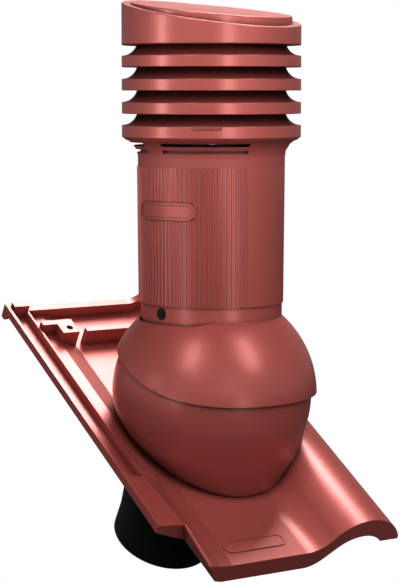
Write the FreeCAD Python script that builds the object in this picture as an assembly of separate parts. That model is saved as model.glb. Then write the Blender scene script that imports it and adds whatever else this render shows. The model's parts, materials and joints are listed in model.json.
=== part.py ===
"""Roof tile vent: a pantile with a ball base let into it, and a louvred chimney on the ball.

Millimetres, +Z up. The origin is the mouth of the batten screw hole, where the tile is fixed.
The roof falls towards -Y at the pitch for which the vent is shown, so the chimney stands plumb.

Two working frames are used. The tile frame has its origin at the ball's centre, X across the
roof, Y up the slope and Z out of the roof. The chimney frame has the same origin, stands
plumb, and has its front towards -Y before the chimney is turned.
"""
import FreeCAD
import Part
import math
import os

from FreeCAD import Rotation, Vector

os.makedirs("parts", exist_ok=True)

# How the vent stands: the roof pitch, and how far the chimney is turned from the fall line.
ROOF_PITCH = 30.0
CHIMNEY_TURN = 13.0

# Travel of the ball joint that the ball's opening has to leave room for, from the pose shown.
TILT_TO_EAVES = 15.0
TILT_TO_RIDGE = 10.0

# How far a form that is fused on is sunk into its neighbour, and when two lengths count as one.
OVERLAP = 1.0
SAME_LENGTH = 1e-6

# The tile, in the tile frame. Heights named _H are from the ball's centre, which is above the tile.
TILE_FRONT = 208.0
TILE_HEAD = 235.0
TILE_LEFT = -140.6
TILE_RIGHT = 141.0
SHEET = 3.0
PAN_H = -56.0
PAN_LEFT = -72.0
UNDERSIDE = PAN_H - SHEET
BAND_H = PAN_H + 5.5
BAND_RIGHT = -93.0
BAND_LEFT = -111.5
LOCK_RIB_H = PAN_H + 14.0
LOCK_RIB_WIDTH = 2.5
LOCK_RIB_SLANT = 1.0
GROOVE_LEFT = -130.0
GROOVE_RIGHT = -116.0
OUTER_RIB_H = PAN_H + 20.0
OUTER_RIB_WIDTH = 3.4
OUTER_WALL = 9.4
UNDER_BEVEL = 8.1

# The roll: a cove out of the pan, then the round of the roll.
ROLL_X = 93.5
ROLL_RADIUS = 53.0
ROLL_RISE = 34.2
ROLL_COVE = 40.0
ROLL_LIP = 3.7
ROLL_H = PAN_H + ROLL_RISE - ROLL_RADIUS

# The interlock's closed end, and the tapering side skirt in front of it.
LOCK_END = TILE_FRONT - 51.0
LOCK_END_X = -109.0
LOCK_END_H = PAN_H + 17.4
LOCK_FOOT_X = -101.6
LOCK_FOOT_H = PAN_H - 5.0
GROOVE_END = LOCK_END - 82.0
CORNER_X = -101.0
CORNER_H = PAN_H + 3.4
CORNER_FOOT_X = -88.7
CORNER_CROWN = 1.2
SKIRT_DROP = 21.5
SKIRT_CORNER_RISE = 2.4
SKIRT_CORNER_LENGTH = 9.0
SKIRT_RAMP_LENGTH = 21.3
SKIRT_RAMP_RISE = 6.5
ROLL_SKIRT = 22.0
ROLL_SKIRT_SPREAD = 1.35
ROLL_SKIRT_ANGLE = 38.0

# Upstands at the head of the tile, the screw block, the corner lug and the nibs.
RAIL_HEIGHT = 14.0
RAIL_DEPTH = 9.0
DAM_H = PAN_H + 21.0
DAM_LEFT = -131.6
BAR_H = PAN_H + 20.0
BAR_FRONT = TILE_HEAD - 63.0
BAR_DEPTH = 7.5
BAR_LEFT = -62.0
BAR_RIGHT = 34.0
BLOCK_LEFT = -93.3
BLOCK_RIGHT = -72.1
BLOCK_BACK = BAR_FRONT + 25.0
STUB_FRONT = BAR_FRONT + 17.3
SCREW_HOLE_X = -81.0
SCREW_HOLE_Y = BAR_FRONT + 9.0
SCREW_HOLE_RADIUS = 4.0
LUG_LENGTH = 14.0
LUG_DROP = 8.5
LUG_WIDTH = 4.9
NIB_CENTRES = (-52.0, 6.0)
NIB_WIDTH = 30.0
NIB_FACE = TILE_HEAD - 32.0
NIB_DEPTH = 11.0
NIB_DROP = 16.0

# The ball and its foot, which is drawn in on the left and at the back, and flares elsewhere.
BALL_RADIUS = 110.0
BALL_WALL = 3.0
LEFT_DRAWN_IN = 30.0
RIGHT_FLARE = 4.5
FRONT_FLARE = 3.0
BACK_DRAWN_IN = 4.0
WELD_GAP = 0.1

# Heights of the foot's sections as shares of its drop, and the share of the flare, or of the
# drawing in, that each of them has.
FOOT_STEPS = (0.2, 0.42, 0.68)
FLARE_SHARES = (0.3, 0.7, 0.95)
DRAW_SHARES = (0.035, 0.14, 0.42)
BACK_SHARES = (0.14, 0.35, 0.7)

# Clearances of parts that slide, screw or press together.
RUN_CLEARANCE = 0.3
THREAD_CLEARANCE = 0.08
SLIP = 0.2
SEAL_SLACK = 0.15

# Radii that the air's way sets: the inner duct, and the neck that it stands on.
DUCT_RADIUS = 55.0
DUCT_WALL = 2.2
NECK_RADIUS = DUCT_RADIUS - 7.0
NECK_WALL = 3.0
OPENING_PLAY = 1.5

# The outer pipe: slightly conical, ribbed on one side and plain on the other.
PIPE_LENGTH = 148.5
PIPE_TOP_RADIUS = 80.0
PIPE_TAPER = 1.3
PIPE_FOOT_RADIUS = PIPE_TOP_RADIUS - PIPE_TAPER
PIPE_WALL = 2.6
RIB_PITCH_ANGLE = 3.6
RIB_FIRST_ANGLE = -163.1
RIB_LAST_ANGLE = -17.3
RIB_WIDTH = 2.6
RIB_HEIGHT = 1.1
RIB_CREST_SHARE = 0.4
RIB_MARGIN = 1.2

# The dome that rides on the ball and carries the chimney.
DOME_PLAY = 1.5
DOME_WALL = 4.5
DOME_RADIUS = BALL_RADIUS + DOME_PLAY + DOME_WALL
DOME_MIDDLE_ANGLE = 60.0
DOME_RIM_FRONT = 1.0
DOME_RIM_SIDE = 26.0
DOME_RIM_KNEE_Y = 26.0
DOME_RIM_BACK_SLOPE = 0.326
PIPE_FOOT_Z = DOME_RADIUS - 14.3
PIPE_TOP_Z = PIPE_FOOT_Z + PIPE_LENGTH
CROWN_TOP = PIPE_FOOT_Z + 5.3
NECK_LENGTH = 37.0
NECK_LOWER_END = CROWN_TOP - NECK_LENGTH
SHOULDER_RADIUS = PIPE_FOOT_RADIUS - 1.5
COLLAR_RADIUS = PIPE_FOOT_RADIUS - PIPE_WALL - SLIP
COLLAR_TOP = PIPE_FOOT_Z + 35.3
COLLAR_WALL = 2.5
POCKET_REACH = PIPE_FOOT_RADIUS + 5.8
POCKET_RADIUS = PIPE_FOOT_RADIUS - 13.7
POCKET_FLOOR = PIPE_FOOT_Z - 19.1

# The clamp nut inside the ball, which draws the dome down on it, and the seal in the dome.
NUT_SMALLER_THAN_HOLE = 1.5
NUT_FLANGE_DEPTH = 7.0
NUT_WALL = 6.0
NUT_FOOT = NECK_LOWER_END + 2.0
NUT_GRIPS = 8
NUT_GRIP_WIDTH = 6.0
NUT_GRIP_REACH = 6.0
SEAL_FIRST_ANGLE = 52.0
SEAL_LAST_ANGLE = 56.5

# The two screws that lock the dome on the ball, and their black caps.
LOCK_SCREW_Z = PIPE_FOOT_Z - 7.9
LOCK_SCREW_RADIUS = 3.0
LOCK_CAP_RADIUS = 6.5
LOCK_CAP_DEPTH = 3.0
LOCK_CAP_CROWN = 0.8
LOCK_CAP_STEP = 1.2
LOCK_CAP_SEAT = SHOULDER_RADIUS - LOCK_CAP_DEPTH
INSERT_RADIUS = 4.6
INSERT_LENGTH = 6.0

# Bare oval plates with a raised rim, one on the pipe and one on the tile.
PIPE_PLATE_Z = PIPE_TOP_Z - 46.2
PIPE_PLATE_ANGLE = -86.5
PIPE_PLATE_LENGTH = 78.0
PIPE_PLATE_HEIGHT = 18.5
PIPE_PLATE_RELIEF = 1.3
TILE_PLATE_X = -31.0
TILE_PLATE_Y = TILE_FRONT - 26.0
TILE_PLATE_LENGTH = 77.0
TILE_PLATE_HEIGHT = 18.0
TILE_PLATE_RELIEF = 0.5
PLATE_RIM = 2.4
PLATE_RIM_HEIGHT = 0.6

# The collar that carries the cap, with its two rows of slots.
CAP_OVERHANG = 17.2
CAP_RADIUS = PIPE_TOP_RADIUS + CAP_OVERHANG
BASE_BEVEL = 5.7
NECK_TOP_Z = PIPE_TOP_Z + 27.8
NECK_TOP_RADIUS = CAP_RADIUS - BASE_BEVEL
NECK_FLARE_START = NECK_TOP_Z - 20.0
NECK_FLARE_SHARE = 0.19
NECK_FLARE_LIFT = 1.4
NECK_SHEET = 2.8
NECK_STRAIGHT_WALL = 2.2
SLEEVE_DEPTH = 20.0
SLEEVE_RADIUS = PIPE_TOP_RADIUS - PIPE_WALL - SLIP
UPSTAND_TOP = NECK_TOP_Z - 6.0
SLOT_ROWS = (NECK_TOP_Z - 13.1, NECK_TOP_Z - 5.8)
SLOT_HEIGHT = 3.5
SLOT_ANGLES = ((-85.0, -17.5), (-165.0, -102.0), (34.5, 102.0), (119.0, 182.0))

# The seals of pipe and duct, the duct's top and the insulation round it.
PIPE_SEAL_Z = PIPE_FOOT_Z + 22.3
PIPE_SEAL_HEIGHT = 4.0
PIPE_SEAL_DEPTH = 1.6
DUCT_TOP = NECK_TOP_Z + 9.0
DUCT_SEAL_RADIUS = DUCT_RADIUS + 7.0
DUCT_SEAL_HEIGHT = 5.0
INSULATION_GAP = 1.0

# The cap: a base ring, three louvre rings and a lid, stacked on four bosses.
BAND_HEIGHT = 12.5
BASE_BAND_TOP = NECK_TOP_Z + 16.0
RING_PITCH = 24.85
RING_COUNT = 3
COVE_RADIUS = 17.0
RING_WALL = 2.5
BAND_ROUND = 0.8
BASE_FLOOR = 3.0
BASE_LEDGE = 1.3
LATCH_WIDTH = 31.0
LATCH_HEIGHT = 4.0
LATCH_DEPTH = 1.8
LATCH_ANGLE = -49.0
BOSS_COUNT = 4
BOSS_RADIUS = 4.8
BOSS_ANGLE = 45.0
BOSS_SINK = 0.7
BOSS_PITCH_RADIUS = CAP_RADIUS - COVE_RADIUS - RING_WALL - BOSS_RADIUS + BOSS_SINK
BOLT_RADIUS = 2.4
BOLT_HEAD_RADIUS = 4.2
BOLT_HEAD_HEIGHT = 3.0
BOLT_GRIP = 12.0
BAND_TOPS = [BASE_BAND_TOP + RING_PITCH * (k + 1) for k in range(RING_COUNT)]

# The lid: a sloping top with a wedge-shaped raised panel.
LID_RIM_Z = BASE_BAND_TOP + RING_COUNT * RING_PITCH + 11.1
LID_CENTRE_Z = LID_RIM_Z + 34.55
LID_SLOPE_ANGLE = 9.8
LID_ROUND = 1.4
LID_WALL = 3.0
PANEL_RADIUS = CAP_RADIUS - 9.7
PANEL_CENTRE_Z = LID_CENTRE_Z + 4.4
PANEL_SLOPE_ANGLE = 7.0

# The black spigot under the ball, for the duct in the roof space, with its gasket and screws.
SPIGOT_END_H = UNDERSIDE - 150.0
SPIGOT_RADIUS = 57.5
SPIGOT_BORE_RADIUS = SPIGOT_RADIUS - 2.3
SPIGOT_STRAIGHT = 30.0
SPIGOT_STOP = 10.0
FLOOR_HOLE_RADIUS = 64.0
SPIGOT_TOP_RADIUS = FLOOR_HOLE_RADIUS + 5.3
FLANGE_RADIUS = FLOOR_HOLE_RADIUS + 13.0
FLANGE_THICKNESS = 4.0
GASKET_THICKNESS = 2.0
FLANGE_SCREWS = 4
FLANGE_SCREW_ANGLE = 45.0
FLANGE_SCREW_PITCH = FLOOR_HOLE_RADIUS + 9.0
FLANGE_SCREW_RADIUS = 1.7
FLANGE_SCREW_HEAD = 3.4
FLANGE_SCREW_HEAD_HEIGHT = 2.4

X_AXIS = Vector(1, 0, 0)
Z_AXIS = Vector(0, 0, 1)
ORIGIN = Vector(0, 0, 0)
BALL_CENTRE = Rotation(X_AXIS, ROOF_PITCH).multVec(Vector(-SCREW_HOLE_X, -SCREW_HOLE_Y, -BAR_H))
TILE_FRAME = FreeCAD.Placement(BALL_CENTRE, Rotation(X_AXIS, ROOF_PITCH))
CHIMNEY_FRAME = FreeCAD.Placement(BALL_CENTRE, Rotation(Z_AXIS, CHIMNEY_TURN))


def at(section, across, up):
    """A point of a section drawn across the roof, at a distance down the slope."""
    return Vector(across, -section, up)


def lines(points, closed=True):
    """A wire of straight edges."""
    return Part.makePolygon(points + points[:1] if closed else points)


def arc(start, middle, end):
    return Part.Arc(start, middle, end).toShape()


def line(start, end):
    return Part.makeLine(start, end)


def revolved(edges):
    """A body of revolution about Z from edges drawn in the XZ plane."""
    face = Part.Face(Part.Wire(Part.__sortEdges__(edges)))
    return face.revolve(ORIGIN, Z_AXIS, 360)


def outline(points):
    """Straight edges that close through the points (radius, height)."""
    corners = [Vector(r, 0, z) for r, z in points]
    return [line(a, b) for a, b in zip(corners, corners[1:] + corners[:1])]


def turned_copies(shape, count, first):
    """Copies of a shape about Z, evenly spaced from the first angle."""
    copies = []
    for k in range(count):
        one = shape.copy()
        one.rotate(ORIGIN, Z_AXIS, first + 360.0 * k / count)
        copies.append(one)
    return copies


def fused(shapes):
    whole = shapes[0]
    if len(shapes) > 1:
        whole = whole.multiFuse(shapes[1:])
    return whole.removeSplitter()


def on_sphere(radius, angle):
    """A point of a circle about the ball's centre, at an angle from the vertical, in the XZ plane."""
    return Vector(radius * math.sin(math.radians(angle)), 0, radius * math.cos(math.radians(angle)))


def save(name, shape, frame):
    placed = shape.copy()
    placed.Placement = frame.multiply(shape.Placement)
    placed.exportStep("parts/" + name + ".step")


# The roll's outline: a cove out of the pan, then the round of the roll.

def roll_geometry(lift):
    """Points of the pan-to-roll curve, raised off the tile's top face by lift."""
    cove = ROLL_COVE - lift
    radius = ROLL_RADIUS + lift
    pan = PAN_H + lift
    reach = math.sqrt((radius + cove) ** 2 - (pan + cove - ROLL_H) ** 2)
    cove_centre = Vector(ROLL_X - reach, 0, pan + cove)
    towards = (Vector(ROLL_X, 0, ROLL_H) - cove_centre).normalize()
    tangent = cove_centre + towards * cove
    half = (towards + Vector(0, 0, -1)).normalize()
    edge_x = TILE_RIGHT if lift >= 0 else TILE_RIGHT + lift
    edge = Vector(edge_x, 0, ROLL_H + math.sqrt(radius ** 2 - (edge_x - ROLL_X) ** 2))
    return {
        "pan": Vector(cove_centre.x, 0, pan),
        "cove_middle": cove_centre + half * cove,
        "tangent": tangent,
        "crown": Vector(ROLL_X, 0, ROLL_H + radius),
        "edge": edge,
    }


def roll_edges(lift):
    g = roll_geometry(lift)
    return [arc(g["pan"], g["cove_middle"], g["tangent"]), arc(g["tangent"], g["crown"], g["edge"])]


def tile_sheet():
    """The tile's own section, drawn out along the slope from front to head."""
    top = roll_geometry(0)
    below = roll_geometry(-SHEET)
    rib_foot = TILE_LEFT + OUTER_RIB_WIDTH
    lip_h = top["edge"].z - ROLL_LIP
    lock_rib = BAND_LEFT - LOCK_RIB_SLANT
    upper_left = [
        Vector(TILE_LEFT, 0, OUTER_RIB_H),
        Vector(rib_foot, 0, OUTER_RIB_H),
        Vector(GROOVE_LEFT, 0, BAND_H),
        Vector(GROOVE_RIGHT, 0, BAND_H),
        Vector(lock_rib - LOCK_RIB_WIDTH, 0, LOCK_RIB_H),
        Vector(lock_rib, 0, LOCK_RIB_H),
        Vector(BAND_LEFT, 0, BAND_H),
        Vector(BAND_RIGHT, 0, BAND_H),
        Vector(PAN_LEFT, 0, PAN_H),
        top["pan"],
    ]
    right_edge = [
        top["edge"],
        Vector(TILE_RIGHT, 0, lip_h),
        Vector(TILE_RIGHT - SHEET, 0, lip_h),
        below["edge"],
    ]
    lower_left = [
        below["pan"],
        Vector(PAN_LEFT, 0, UNDERSIDE),
        Vector(BAND_RIGHT, 0, BAND_H - SHEET),
        Vector(TILE_LEFT + UNDER_BEVEL, 0, BAND_H - SHEET),
        Vector(TILE_LEFT, 0, OUTER_RIB_H - OUTER_WALL),
        Vector(TILE_LEFT, 0, OUTER_RIB_H),
    ]
    edges = []
    for run in (upper_left, right_edge, lower_left):
        edges += [line(a, b) for a, b in zip(run, run[1:])]
    edges += roll_edges(0) + roll_edges(-SHEET)
    face = Part.Face(Part.Wire(Part.__sortEdges__(edges)))
    face.translate(Vector(0, -TILE_FRONT, 0))
    sheet = face.extrude(Vector(0, TILE_FRONT + TILE_HEAD, 0))
    front_left = upright(TILE_LEFT - OVERLAP, PAN_LEFT, -TILE_FRONT - OVERLAP, -GROOVE_END,
                         UNDERSIDE - OVERLAP, OUTER_RIB_H + OVERLAP)
    return sheet.cut(front_left)


def lock_end():
    """The closed stretch of the interlock in front of the groove."""
    rib = TILE_LEFT + OUTER_RIB_WIDTH

    def section(y, x, h):
        return [
            at(y, TILE_LEFT, OUTER_RIB_H),
            at(y, rib, OUTER_RIB_H),
            at(y, x, h),
            at(y, BAND_RIGHT, BAND_H),
            at(y, PAN_LEFT, PAN_H),
            at(y, PAN_LEFT, UNDERSIDE),
            at(y, LOCK_FOOT_X, LOCK_FOOT_H),
            at(y, TILE_LEFT, OUTER_RIB_H - OUTER_WALL),
        ]

    back = lines(section(GROOVE_END, BAND_LEFT - LOCK_RIB_SLANT, LOCK_RIB_H))
    front = lines(section(LOCK_END, LOCK_END_X, LOCK_END_H))
    return Part.makeLoft([back, front], True, True)


def corner_middle(drop):
    """The slight crown of the sheet at the front's left corner, lowered by drop."""
    return at(TILE_FRONT, 0.5 * (CORNER_X + PAN_LEFT), PAN_H + CORNER_CROWN - drop)


def front_corner():
    """The tile's left edge between the interlock's end and the front, with its side skirt."""
    foot_h = PAN_H - SKIRT_DROP + SKIRT_CORNER_RISE
    sheet = Part.makeLoft([
        lines([
            at(LOCK_END, LOCK_END_X, LOCK_END_H),
            at(LOCK_END, BAND_RIGHT, BAND_H),
            at(LOCK_END, PAN_LEFT, PAN_H),
            at(LOCK_END, PAN_LEFT, UNDERSIDE),
            at(LOCK_END, BAND_RIGHT, BAND_H - SHEET),
            at(LOCK_END, LOCK_END_X, LOCK_END_H - SHEET),
        ]),
        lines([
            at(TILE_FRONT, CORNER_X, CORNER_H),
            corner_middle(0),
            at(TILE_FRONT, PAN_LEFT, PAN_H),
            at(TILE_FRONT, PAN_LEFT, UNDERSIDE),
            corner_middle(SHEET),
            at(TILE_FRONT, CORNER_X, CORNER_H - SHEET),
        ]),
    ], True, True)
    skirt = Part.makeLoft([
        lines([
            at(LOCK_END, LOCK_END_X, LOCK_END_H),
            at(LOCK_END, LOCK_END_X + SHEET, LOCK_END_H),
            at(LOCK_END, LOCK_FOOT_X + SHEET, LOCK_FOOT_H),
            at(LOCK_END, LOCK_FOOT_X, LOCK_FOOT_H),
        ]),
        lines([
            at(TILE_FRONT, CORNER_X, CORNER_H),
            at(TILE_FRONT, CORNER_X + SHEET, CORNER_H),
            at(TILE_FRONT, CORNER_FOOT_X + SHEET, foot_h),
            at(TILE_FRONT, CORNER_FOOT_X, foot_h),
        ]),
    ], True, True)
    return sheet.fuse(skirt)


def skirt_sweep(foot, lip_h):
    """The lower edge of the apron where it climbs from the pan and arches under the roll."""
    pan_x = roll_geometry(0)["pan"].x
    radius = ROLL_RADIUS - ROLL_SKIRT
    side = math.radians(ROLL_SKIRT_ANGLE)
    side_x = ROLL_X - ROLL_SKIRT_SPREAD * radius * math.sin(side)
    lip_x = ROLL_X + math.sqrt(radius ** 2 - (lip_h - ROLL_H) ** 2)
    curve = Part.BSplineCurve()
    curve.interpolate([
        at(TILE_FRONT, pan_x, foot),
        at(TILE_FRONT, pan_x + SKIRT_RAMP_LENGTH, foot + SKIRT_RAMP_RISE),
        at(TILE_FRONT, side_x, ROLL_H + radius * math.cos(side)),
        at(TILE_FRONT, ROLL_X, ROLL_H + radius),
        at(TILE_FRONT, lip_x, lip_h),
    ])
    return curve


def front_skirt():
    """The apron across the tile's front, which follows the roll."""
    top = roll_geometry(0)
    foot = PAN_H - SKIRT_DROP
    lip_h = top["edge"].z - ROLL_LIP
    sweep = skirt_sweep(foot, lip_h)
    roll = roll_edges(0)
    for edge in roll:
        edge.translate(Vector(0, -TILE_FRONT, 0))
    upper = [
        at(TILE_FRONT, CORNER_X, CORNER_H),
        corner_middle(0),
        at(TILE_FRONT, PAN_LEFT, PAN_H),
        at(TILE_FRONT, top["pan"].x, PAN_H),
    ]
    right = [
        at(TILE_FRONT, TILE_RIGHT, top["edge"].z),
        at(TILE_FRONT, TILE_RIGHT, lip_h),
        sweep.EndPoint,
    ]
    lower = [
        sweep.StartPoint,
        at(TILE_FRONT, CORNER_FOOT_X + SKIRT_CORNER_LENGTH, foot),
        at(TILE_FRONT, CORNER_FOOT_X, foot + SKIRT_CORNER_RISE),
        at(TILE_FRONT, CORNER_X, CORNER_H),
    ]
    edges = roll + [sweep.toShape()]
    for run in (upper, right, lower):
        edges += [line(a, b) for a, b in zip(run, run[1:])]
    return Part.Face(Part.Wire(Part.__sortEdges__(edges))).extrude(Vector(0, SHEET, 0))


def head_rail():
    """The upstand at the head, which follows the pan and the roll."""
    low = roll_geometry(-OVERLAP)
    high = roll_geometry(RAIL_HEIGHT)
    left = BAND_LEFT - LOCK_RIB_SLANT - LOCK_RIB_WIDTH
    left_end = [
        high["pan"],
        Vector(left, 0, PAN_H + RAIL_HEIGHT),
        Vector(left, 0, BAND_H - OVERLAP),
        Vector(BAND_RIGHT, 0, BAND_H - OVERLAP),
        Vector(PAN_LEFT, 0, PAN_H - OVERLAP),
        low["pan"],
    ]
    edges = roll_edges(RAIL_HEIGHT) + roll_edges(-OVERLAP) + [line(high["edge"], low["edge"])]
    edges += [line(a, b) for a, b in zip(left_end, left_end[1:])]
    face = Part.Face(Part.Wire(Part.__sortEdges__(edges)))
    face.translate(Vector(0, TILE_HEAD - RAIL_DEPTH, 0))
    return face.extrude(Vector(0, RAIL_DEPTH, 0))


def upright(left, right, near, far, low, high):
    """A block between two distances up the slope."""
    return Part.makeBox(right - left, far - near, high - low, Vector(left, near, low))


def head_details():
    """Dam, cross bar, screw block and corner lug at the head of the tile."""
    rail_front = TILE_HEAD - RAIL_DEPTH
    dam = upright(DAM_LEFT, BAND_LEFT - LOCK_RIB_SLANT, rail_front, TILE_HEAD, BAND_H - OVERLAP, DAM_H)
    bar = upright(BAR_LEFT, BAR_RIGHT, BAR_FRONT, BAR_FRONT + BAR_DEPTH, PAN_H - OVERLAP, BAR_H)
    block = upright(BLOCK_LEFT, BLOCK_RIGHT, BAR_FRONT, BLOCK_BACK, UNDERSIDE, BAR_H)
    stub = upright(BAND_LEFT, BLOCK_LEFT + OVERLAP, STUB_FRONT, BLOCK_BACK, BAND_H - OVERLAP, BAR_H)
    lug_h = OUTER_RIB_H - OUTER_WALL
    lug = Part.Face(lines([
        Vector(TILE_LEFT, TILE_HEAD - LUG_LENGTH, lug_h),
        Vector(TILE_LEFT, TILE_HEAD - 0.5 * LUG_LENGTH, lug_h - LUG_DROP),
        Vector(TILE_LEFT, TILE_HEAD, lug_h - LUG_DROP),
        Vector(TILE_LEFT, TILE_HEAD, lug_h + OVERLAP),
        Vector(TILE_LEFT, TILE_HEAD - LUG_LENGTH, lug_h + OVERLAP),
    ])).extrude(Vector(LUG_WIDTH, 0, 0))
    return [dam, bar, block, stub, lug]


def nibs():
    """The two nibs under the head that hook the tile over its batten."""
    pair = []
    for x in NIB_CENTRES:
        left = x - NIB_WIDTH / 2
        low = UNDERSIDE - NIB_DROP
        pair.append(upright(left, left + NIB_WIDTH, NIB_FACE, NIB_FACE + NIB_DEPTH, low, PAN_H - OVERLAP))
    return pair


def quarter_ellipse(reach_x, reach_y, height, first):
    """A quarter of an ellipse about Z, from the first angle, with its reach along X and along Y."""
    start = math.radians(first)
    centre = Vector(0, 0, height)
    if abs(reach_x - reach_y) < SAME_LENGTH:
        return Part.Circle(centre, Z_AXIS, reach_x).toShape(start, start + math.pi / 2)
    if reach_x > reach_y:
        curve = Part.Ellipse(Vector(reach_x, 0, height), Vector(0, reach_y, height), centre)
        return curve.toShape(start, start + math.pi / 2)
    curve = Part.Ellipse(Vector(0, reach_y, height), Vector(-reach_x, 0, height), centre)
    return curve.toShape(start - math.pi / 2, start)


def foot_outline(height, left, right, front, back):
    """A closed curve of four quarter ellipses, seen square to the tile."""
    return Part.Wire([
        quarter_ellipse(right, back, height, 0),
        quarter_ellipse(left, back, height, 90),
        quarter_ellipse(left, front, height, 180),
        quarter_ellipse(right, front, height, 270),
    ])


def ball_form(inset, bottom):
    """The ball with its foot, drawn in by the wall for the inside."""
    radius = BALL_RADIUS - inset
    upper_half = Part.makeSphere(radius, ORIGIN, Z_AXIS, 0, 90, 360)
    sections = [foot_outline(0, radius, radius, radius, radius)]
    for step, flare, draw, back in zip(FOOT_STEPS, FLARE_SHARES, DRAW_SHARES, BACK_SHARES):
        sections.append(foot_outline(
            step * UNDERSIDE,
            radius - draw * LEFT_DRAWN_IN,
            radius + flare * RIGHT_FLARE,
            radius + flare * FRONT_FLARE,
            radius - back * BACK_DRAWN_IN,
        ))
    sections.append(foot_outline(
        bottom,
        radius - LEFT_DRAWN_IN,
        radius + RIGHT_FLARE,
        radius + FRONT_FLARE,
        radius - BACK_DRAWN_IN,
    ))
    return upper_half.fuse(Part.makeLoft(sections, True, False))


def neck_path(radius, low, high):
    """The room that a tube on the dome's axis needs in the ball, over the tilt's whole travel."""
    tube = Part.makeCylinder(radius, high - low, Vector(0, 0, low))
    ends = []
    for angle in (-TILT_TO_EAVES, TILT_TO_RIDGE):
        one = tube.copy()
        one.rotate(ORIGIN, X_AXIS, -angle)
        ends.append(one)
    blade = Part.Face(lines([Vector(-radius, 0, low), Vector(radius, 0, low),
                             Vector(radius, 0, high), Vector(-radius, 0, high)]))
    blade.rotate(ORIGIN, X_AXIS, -TILT_TO_RIDGE)
    swept = blade.revolve(ORIGIN, X_AXIS, TILT_TO_EAVES + TILT_TO_RIDGE)
    path = ends[0].fuse(ends[1]).fuse(swept)
    path.rotate(ORIGIN, X_AXIS, -ROOF_PITCH)
    return path


def flange_positions():
    """Centres of the spigot's screws, square to the tile."""
    spots = []
    for k in range(FLANGE_SCREWS):
        angle = math.radians(FLANGE_SCREW_ANGLE + 360.0 * k / FLANGE_SCREWS)
        spots.append(Vector(FLANGE_SCREW_PITCH * math.cos(angle), FLANGE_SCREW_PITCH * math.sin(angle), 0))
    return spots


def upright_hole(spot, radius, low, high):
    """A drill that goes right through between two heights."""
    return Part.makeCylinder(radius, high - low + 2 * OVERLAP, Vector(spot.x, spot.y, low - OVERLAP))


def tile_body():
    """The tile, moulded as one piece, with an opening that fits the ball's foot."""
    pieces = [lock_end(), front_corner(), front_skirt(), head_rail(), tile_plate()] + head_details() + nibs()
    tile = tile_sheet().multiFuse(pieces)
    tile = tile.cut(ball_form(-WELD_GAP, UNDERSIDE - OVERLAP))
    tile = tile.cut(upright_hole(Vector(SCREW_HOLE_X, SCREW_HOLE_Y, 0), SCREW_HOLE_RADIUS, UNDERSIDE, BAR_H))
    return tile.removeSplitter()


def ball_base():
    """Hollow ball with its foot and a floor, moulded by itself because its sides are undercut."""
    ball = ball_form(0, UNDERSIDE).cut(ball_form(BALL_WALL, PAN_H))
    ball = ball.cut(neck_path(NECK_RADIUS + OPENING_PLAY, NECK_LOWER_END, DOME_RADIUS))
    ball = ball.cut(upright_hole(ORIGIN, FLOOR_HOLE_RADIUS, UNDERSIDE, PAN_H))
    for spot in flange_positions():
        ball = ball.cut(upright_hole(spot, FLANGE_SCREW_RADIUS, UNDERSIDE, PAN_H))
    return ball


def duct_spigot():
    """Conical spigot with a flange, and a straight end that takes the duct."""
    top = UNDERSIDE - GASKET_THICKNESS
    flange = top - FLANGE_THICKNESS
    straight = SPIGOT_END_H + SPIGOT_STRAIGHT
    body = revolved(outline([
        (SPIGOT_BORE_RADIUS, SPIGOT_END_H),
        (SPIGOT_RADIUS, SPIGOT_END_H),
        (SPIGOT_RADIUS, straight),
        (SPIGOT_TOP_RADIUS, flange),
        (FLANGE_RADIUS, flange),
        (FLANGE_RADIUS, top),
        (FLOOR_HOLE_RADIUS, top),
        (SPIGOT_BORE_RADIUS, straight + SPIGOT_STOP),
    ]))
    for spot in flange_positions():
        body = body.cut(upright_hole(spot, FLANGE_SCREW_RADIUS + SLIP, flange, top))
    return body


def spigot_gasket():
    low = UNDERSIDE - GASKET_THICKNESS
    gasket = ring(FLOOR_HOLE_RADIUS, FLANGE_RADIUS, low, GASKET_THICKNESS)
    for spot in flange_positions():
        gasket = gasket.cut(upright_hole(spot, FLANGE_SCREW_RADIUS + SLIP, low, UNDERSIDE))
    return gasket


def spigot_screws():
    """Screws from below, through flange and gasket into the ball's floor."""
    seat = UNDERSIDE - GASKET_THICKNESS - FLANGE_THICKNESS
    under = seat - FLANGE_SCREW_HEAD_HEIGHT
    screws = []
    for spot in flange_positions():
        place = spot + Vector(0, 0, under)
        shank = Part.makeCylinder(FLANGE_SCREW_RADIUS, PAN_H - under, place)
        head = Part.makeCylinder(FLANGE_SCREW_HEAD, FLANGE_SCREW_HEAD_HEIGHT, place)
        screws.append(shank.fuse(head))
    return Part.makeCompound(screws)


def rim_cutter():
    """What lies under the dome's rim: level in front, rising in a curve to the back."""
    reach = DOME_RADIUS + OVERLAP
    front = Vector(0, -DOME_RADIUS, DOME_RIM_FRONT)
    quarter = DOME_RIM_SIDE - DOME_RIM_FRONT
    knee_share = (1 + DOME_RIM_KNEE_Y / DOME_RADIUS) ** 2
    knee = Vector(0, DOME_RIM_KNEE_Y, DOME_RIM_FRONT + quarter * knee_share)
    middle = Vector(0, 0, DOME_RIM_SIDE)
    half_way = Vector(0, -DOME_RADIUS / 2, DOME_RIM_FRONT + quarter / 4)
    curve = Part.BSplineCurve()
    curve.interpolate([front, half_way, middle, knee])
    back = Vector(0, reach, knee.z + DOME_RIM_BACK_SLOPE * (reach - knee.y))
    start = Vector(0, -reach, DOME_RIM_FRONT)
    floor = -reach
    edges = [line(start, front), curve.toShape(), line(knee, back), line(back, Vector(0, reach, floor)),
             line(Vector(0, reach, floor), Vector(0, -reach, floor)), line(Vector(0, -reach, floor), start)]
    face = Part.Face(Part.Wire(Part.__sortEdges__(edges)))
    face.translate(Vector(-reach, 0, 0))
    return face.extrude(Vector(2 * reach, 0, 0))


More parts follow.
